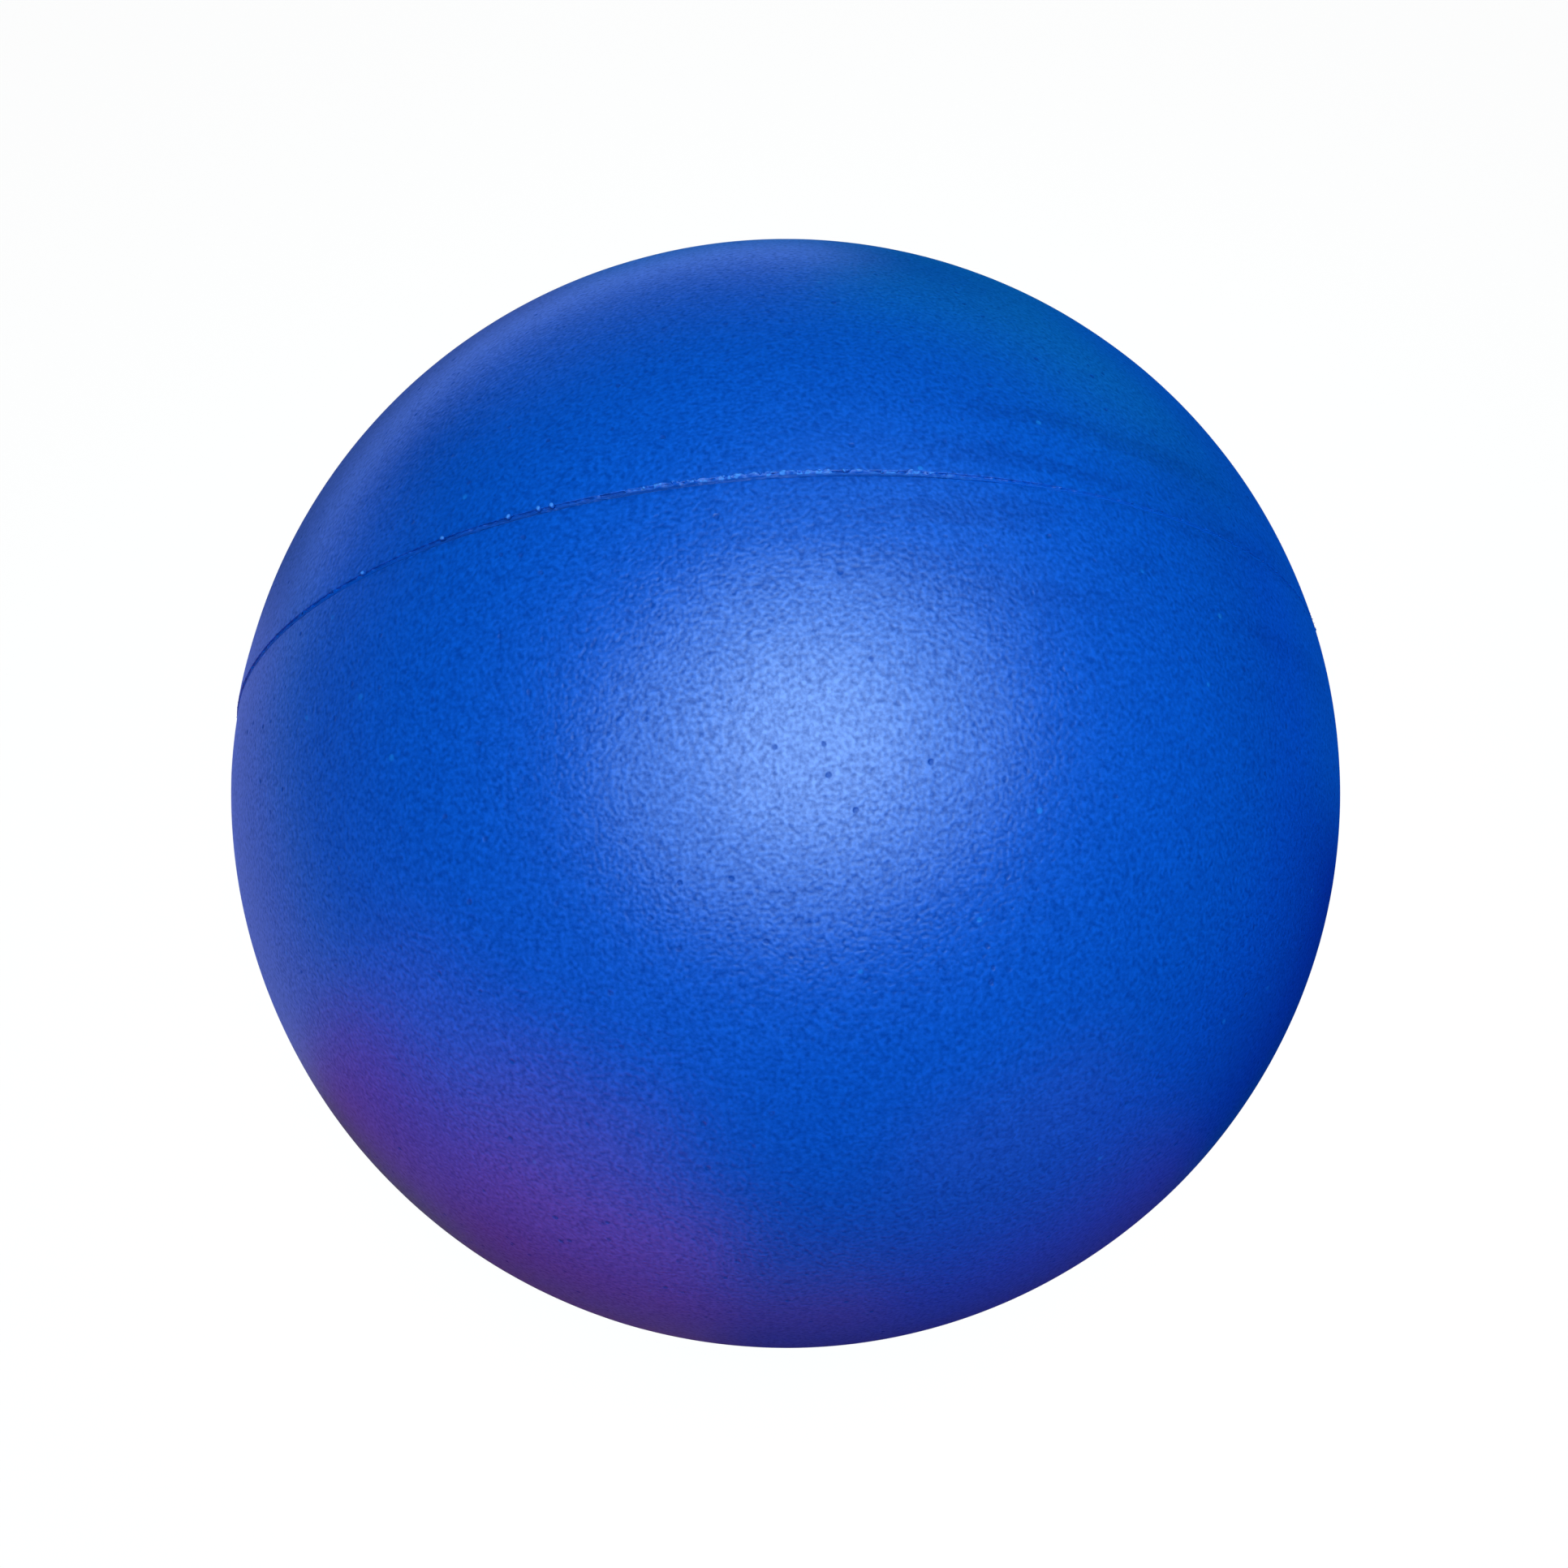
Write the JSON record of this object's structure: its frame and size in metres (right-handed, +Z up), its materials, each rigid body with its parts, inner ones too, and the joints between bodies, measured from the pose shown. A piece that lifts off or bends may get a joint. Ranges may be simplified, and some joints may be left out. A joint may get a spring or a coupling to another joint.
{
  "type": "lacrosse ball",
  "caption": "Solid rubber lacrosse ball, royal blue with a fine pebbled satin surface: moulded cover halves round a rubber core, meeting at a trimmed parting line.",
  "frame": {"origin": "centre of the ball", "axes": "+Z up as the ball lies, +Y along the mould axis, so the parting line lies in the XZ plane"},
  "size_m": [0.0638, 0.0636, 0.0638],
  "materials": {
    "core_rubber": "dull black rubber, roughened for bonding",
    "cover_rubber": "satin royal blue rubber with a fine pebbled grain",
    "flash_rubber": "cut blue rubber, paler and duller along the trimmed edge"
  },
  "bodies": {
    "root": {"core": "core_rubber", "front_cover": "cover_rubber", "rear_cover": "cover_rubber", "flash_ring": "flash_rubber"}
  },
  "joints": []
}
